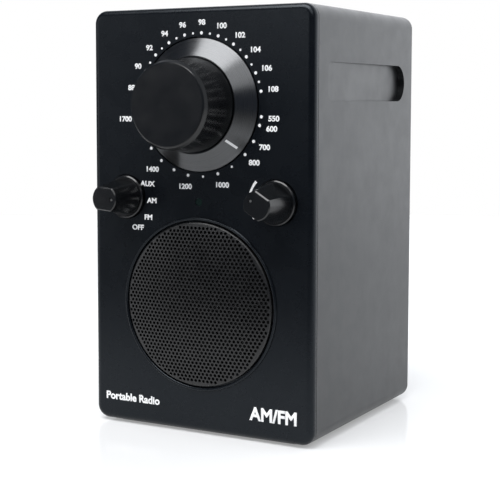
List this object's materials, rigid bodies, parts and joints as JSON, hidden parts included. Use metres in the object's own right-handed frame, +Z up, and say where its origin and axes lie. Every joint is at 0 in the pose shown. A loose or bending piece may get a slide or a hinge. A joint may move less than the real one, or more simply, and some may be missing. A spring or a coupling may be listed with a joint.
{
  "type": "portable radio",
  "caption": "Compact upright portable table radio with a black moulded cabinet, geared tuning dial, round speaker grille, two pointer knobs and a rear rod antenna.",
  "frame": {"origin": "centre of the foot pad's underside", "axes": "+X to the right of the front, +Y to the back, +Z up; the dial and knobs face -Y"},
  "size_m": [0.0936, 0.1174, 0.1588],
  "materials": {
    "cabinet": "satin moulded black",
    "front": "satin moulded black",
    "rubber": "matt black rubber",
    "grille": "satin black perforated sheet",
    "knob": "satin black plastic",
    "dial_metal": "dark spun metal",
    "steel": "zinc plated steel",
    "chrome": "bright chrome",
    "aluminium": "machined aluminium",
    "brass": "machined brass",
    "paper": "pressed paper pulp",
    "copper": "enamelled copper wire",
    "ferrite": "sintered ferrite",
    "board": "green glass-epoxy board",
    "black_parts": "moulded black",
    "lens": "dark green lens",
    "cell": "green heat-shrink sleeve",
    "nickel": "nickel strip",
    "nylon": "natural nylon"
  },
  "bodies": {
    "radio": {"cabinet_shell": "cabinet", "front_panel": "front", "panel_gasket": "rubber", "case_screws": "steel", "foot_pad": "rubber", "speaker_grille": "grille", "speaker_gasket": "rubber", "speaker_basket": "steel", "speaker_surround": "rubber", "speaker_spider": "paper", "speaker_top_plate": "steel", "speaker_magnet": "ferrite", "speaker_yoke": "steel", "small_screws": "steel", "vernier_housing": "aluminium", "vernier_back": "aluminium", "capacitor_frame": "steel", "capacitor_stator": "aluminium", "selector_switch": "black_parts", "volume_pot": "black_parts", "status_led": "lens", "control_board": "board", "main_board": "board", "board_spacers": "brass", "board_chips": "black_parts", "shield_cans": "steel", "ferrite_rod": "ferrite", "ferrite_coil": "copper", "ferrite_clips": "nylon", "battery_tray": "cabinet", "battery_cells": "cell", "battery_links": "nickel", "jack_board": "board", "aux_jack": "black_parts", "headphone_jack": "black_parts", "dc_jack": "black_parts", "antenna_bracket": "steel", "antenna_pin": "steel"},
    "speaker_cone": {"speaker_cone": "paper", "voice_coil": "copper"},
    "tuning_knob": {"tuning_knob": "knob", "sun_gear_shaft": "brass"},
    "dial": {"dial_ring": "dial_metal", "planet_carrier": "aluminium", "carrier_plate": "aluminium", "capacitor_rotor": "aluminium"},
    "planet_1": {"planet_gear_1": "brass"},
    "planet_2": {"planet_gear_2": "brass"},
    "planet_3": {"planet_gear_3": "brass"},
    "selector": {"selector_knob": "knob", "selector_shaft": "steel"},
    "volume": {"volume_knob": "knob", "volume_shaft": "steel"},
    "battery_door": {"battery_door": "cabinet"},
    "antenna_base": {"antenna_knuckle": "chrome", "antenna_tube": "chrome"},
    "antenna_1": {"antenna_section_1": "chrome"},
    "antenna_2": {"antenna_section_2": "chrome"},
    "antenna_3": {"antenna_section_3": "chrome", "antenna_tip": "chrome"}
  },
  "joints": [
    {"name": "tuning_knob_turn", "type": "hinge", "parent": "radio", "child": "tuning_knob", "pos_m": [0, -0.0475, 0.123], "axis": [0, -1, 0], "range_deg": [-640, 160]},
    {"name": "dial_turn", "type": "hinge", "parent": "radio", "child": "dial", "pos_m": [0, -0.0475, 0.123], "axis": [0, -1, 0], "range_deg": [-128.5, 32.5]},
    {"name": "planet_1_spin", "type": "hinge", "parent": "dial", "child": "planet_1", "pos_m": [0, -0.0475, 0.1335], "axis": [0, -1, 0], "range_deg": [-86, 342]},
    {"name": "planet_2_spin", "type": "hinge", "parent": "dial", "child": "planet_2", "pos_m": [-0.00909, -0.0475, 0.11775], "axis": [0, -1, 0], "range_deg": [-86, 342]},
    {"name": "planet_3_spin", "type": "hinge", "parent": "dial", "child": "planet_3", "pos_m": [0.00909, -0.0475, 0.11775], "axis": [0, -1, 0], "range_deg": [-86, 342]},
    {"name": "selector_turn", "type": "hinge", "parent": "radio", "child": "selector", "pos_m": [-0.032, -0.0475, 0.0882], "axis": [0, -1, 0], "range_deg": [-62, 31]},
    {"name": "volume_turn", "type": "hinge", "parent": "radio", "child": "volume", "pos_m": [0.032, -0.0475, 0.0882], "axis": [0, -1, 0], "range_deg": [-203, 87]},
    {"name": "cone_stroke", "type": "slide", "parent": "radio", "child": "speaker_cone", "axis": [0, -1, 0], "range_m": [-0.0015, 0.0015], "stiffness_N_per_m": 900},
    {"name": "battery_door_hinge", "type": "hinge", "parent": "radio", "child": "battery_door", "pos_m": [0.01, 0.0453, 0.0175], "axis": [-1, 0, 0], "range_deg": [0, 90]},
    {"name": "antenna_tilt", "type": "hinge", "parent": "radio", "child": "antenna_base", "pos_m": [-0.028, 0.0435, 0.024], "axis": [1, 0, 0], "range_deg": [-90, 0]},
    {"name": "antenna_1_slide", "type": "slide", "parent": "antenna_base", "child": "antenna_1", "axis": [0, 0, 1], "range_m": [0, 0.088]},
    {"name": "antenna_2_slide", "type": "slide", "parent": "antenna_1", "child": "antenna_2", "axis": [0, 0, 1], "range_m": [0, 0.088]},
    {"name": "antenna_3_slide", "type": "slide", "parent": "antenna_2", "child": "antenna_3", "axis": [0, 0, 1], "range_m": [0, 0.088]}
  ],
  "couplings": [
    {"joint": "dial_turn", "follows": "tuning_knob_turn", "ratio": 0.2},
    {"joint": "planet_1_spin", "follows": "tuning_knob_turn", "ratio": -0.53333},
    {"joint": "planet_2_spin", "follows": "tuning_knob_turn", "ratio": -0.53333},
    {"joint": "planet_3_spin", "follows": "tuning_knob_turn", "ratio": -0.53333}
  ]
}
